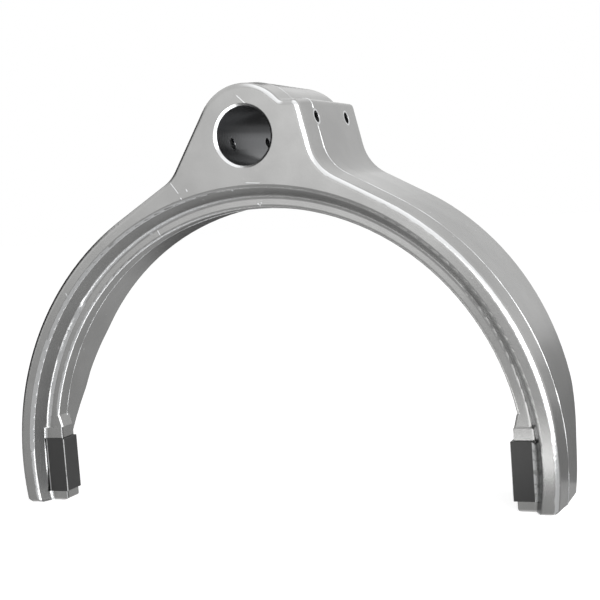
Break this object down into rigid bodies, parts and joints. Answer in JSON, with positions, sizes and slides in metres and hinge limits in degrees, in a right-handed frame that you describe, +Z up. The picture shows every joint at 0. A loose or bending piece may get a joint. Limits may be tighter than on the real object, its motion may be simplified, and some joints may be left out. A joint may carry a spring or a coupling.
{
  "type": "transmission shift fork",
  "caption": "Die-cast aluminium shift fork: a wide stepped arch under a bored rail boss with a drilled pin pad, and a dark plastic slider shoe on each tip.",
  "frame": {"origin": "on the axis of the rail bore, in the plane of the boss's front face", "axes": "+X across the arms towards the pin pad's side, +Y along the rail bore from the front face to the back, +Z up from the arms to the boss"},
  "size_m": [0.2536, 0.0683, 0.1834],
  "materials": {
    "casting": "as die-cast, satin",
    "shoe": "moulded, matt"
  },
  "bodies": {
    "root": {"fork_casting": "casting", "left_shoe": "shoe", "right_shoe": "shoe"}
  },
  "joints": []
}
